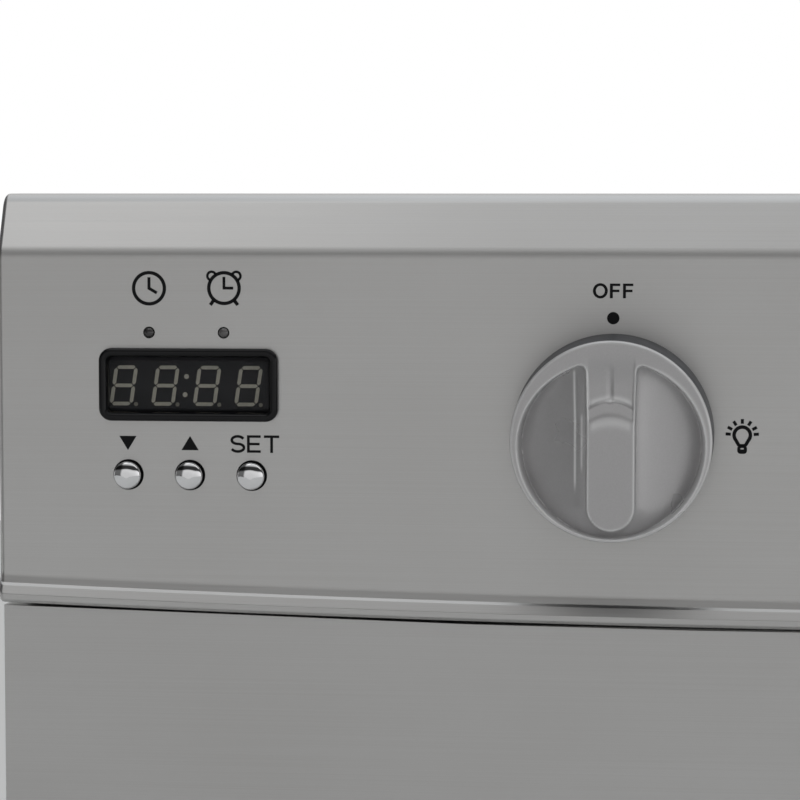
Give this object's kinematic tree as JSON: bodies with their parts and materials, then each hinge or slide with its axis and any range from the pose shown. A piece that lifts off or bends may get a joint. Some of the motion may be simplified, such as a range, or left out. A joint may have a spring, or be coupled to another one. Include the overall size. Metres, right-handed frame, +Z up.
{
  "type": "food dehydrator",
  "caption": "Countertop cabinet food dehydrator: steel control panel with clock, buttons and knobs, side-hinged glass door, sliding trays, rear fan and heater.",
  "frame": {"origin": "on the table under the middle of the whole dehydrator's box, door closed", "axes": "+Z up, the front with the control panel and the door faces -Y, +X to the right as seen from the front"},
  "size_m": [0.46, 0.48, 0.48],
  "materials": {
    "stainless": "brushed",
    "inner_steel": "satin",
    "coated_steel": "satin",
    "satin_plastic": "satin metallic",
    "chrome": "polished",
    "black_plastic": "gloss",
    "glass": "clear",
    "smoked": "smoked",
    "rubber": "matte",
    "board": "matte",
    "red_lens": "gloss",
    "ceramic": "matte",
    "white_plastic": "matte",
    "magnet": "matte"
  },
  "bodies": {
    "cabinet": {"control_panel": "stainless", "front_frame": "stainless", "chamber_liner": "inner_steel", "rear_baffle": "inner_steel", "side_rack_left": "inner_steel", "side_rack_right": "inner_steel", "fan_shroud": "inner_steel", "outer_shell": "coated_steel", "base_pan": "coated_steel", "rear_panel": "coated_steel", "fan_motor": "coated_steel", "heater_element": "coated_steel", "thermostat_body": "coated_steel", "hinge_upper": "coated_steel", "hinge_lower": "coated_steel", "thermostat_sensor": "chrome", "display_bezel": "black_plastic", "display_module": "black_plastic", "power_inlet": "black_plastic", "lamp_bulb": "glass", "lamp_cover": "glass", "display_window": "smoked", "foot_front_left": "rubber", "foot_front_right": "rubber", "foot_rear_left": "rubber", "foot_rear_right": "rubber", "timer_board": "board", "clock_light": "red_lens", "alarm_light": "red_lens", "lamp_holder": "ceramic", "thermal_cutout": "ceramic", "timer_housing": "white_plastic", "selector_switch": "white_plastic", "terminal_block": "white_plastic", "catch_magnet": "magnet"},
    "door": {"door_frame": "stainless", "door_glass": "glass", "door_inner": "inner_steel", "door_gasket": "rubber", "door_handle": "stainless", "handle_post_upper": "chrome", "handle_post_lower": "chrome", "catch_strike": "coated_steel"},
    "drip_tray": {"drip_tray": "inner_steel"},
    "fan": {"fan_shaft": "chrome", "fan_impeller": "inner_steel"},
    "selector": {"selector_shaft": "chrome", "selector_knob": "satin_plastic"},
    "thermostat": {"thermostat_shaft": "chrome", "thermostat_knob": "satin_plastic"},
    "button_down": {"button_down": "chrome"},
    "button_up": {"button_up": "chrome"},
    "button_set": {"button_set": "chrome"},
    "tray_1": {"tray_1": "chrome"},
    "tray_2": {"tray_2": "chrome"},
    "tray_3": {"tray_3": "chrome"},
    "tray_4": {"tray_4": "chrome"},
    "tray_5": {"tray_5": "chrome"},
    "tray_6": {"tray_6": "chrome"}
  },
  "joints": [
    {"name": "door_swing", "type": "hinge", "parent": "cabinet", "child": "door", "pos_m": [-0.222, -0.1755, 0.2], "axis": [0, 0, -1], "range_deg": [0, 110]},
    {"name": "tray_1_slide", "type": "slide", "parent": "cabinet", "child": "tray_1", "axis": [0, -1, 0], "range_m": [0, 0.04]},
    {"name": "tray_2_slide", "type": "slide", "parent": "cabinet", "child": "tray_2", "axis": [0, -1, 0], "range_m": [0, 0.04]},
    {"name": "tray_3_slide", "type": "slide", "parent": "cabinet", "child": "tray_3", "axis": [0, -1, 0], "range_m": [0, 0.04]},
    {"name": "tray_4_slide", "type": "slide", "parent": "cabinet", "child": "tray_4", "axis": [0, -1, 0], "range_m": [0, 0.04]},
    {"name": "tray_5_slide", "type": "slide", "parent": "cabinet", "child": "tray_5", "axis": [0, -1, 0], "range_m": [0, 0.04]},
    {"name": "tray_6_slide", "type": "slide", "parent": "cabinet", "child": "tray_6", "axis": [0, -1, 0], "range_m": [0, 0.04]},
    {"name": "drip_tray_slide", "type": "slide", "parent": "cabinet", "child": "drip_tray", "axis": [0, -1, 0], "range_m": [0, 0.04]},
    {"name": "fan_spin", "type": "hinge", "parent": "cabinet", "child": "fan", "pos_m": [0, 0.2, 0.205], "axis": [0, 1, 0], "continuous": true},
    {"name": "selector_turn", "type": "hinge", "parent": "cabinet", "child": "selector", "pos_m": [-0.0782, -0.192, 0.4219], "axis": [0, 1, 0], "range_deg": [0, 90]},
    {"name": "thermostat_turn", "type": "hinge", "parent": "cabinet", "child": "thermostat", "pos_m": [0.0782, -0.192, 0.4219], "axis": [0, 1, 0], "range_deg": [0, 270]},
    {"name": "button_down_press", "type": "slide", "parent": "cabinet", "child": "button_down", "axis": [0, 1, 0], "range_m": [0, 0.0012], "stiffness_N_per_m": 600, "springref_m": -0.0008},
    {"name": "button_up_press", "type": "slide", "parent": "cabinet", "child": "button_up", "axis": [0, 1, 0], "range_m": [0, 0.0012], "stiffness_N_per_m": 600, "springref_m": -0.0008},
    {"name": "button_set_press", "type": "slide", "parent": "cabinet", "child": "button_set", "axis": [0, 1, 0], "range_m": [0, 0.0012], "stiffness_N_per_m": 600, "springref_m": -0.0008}
  ]
}
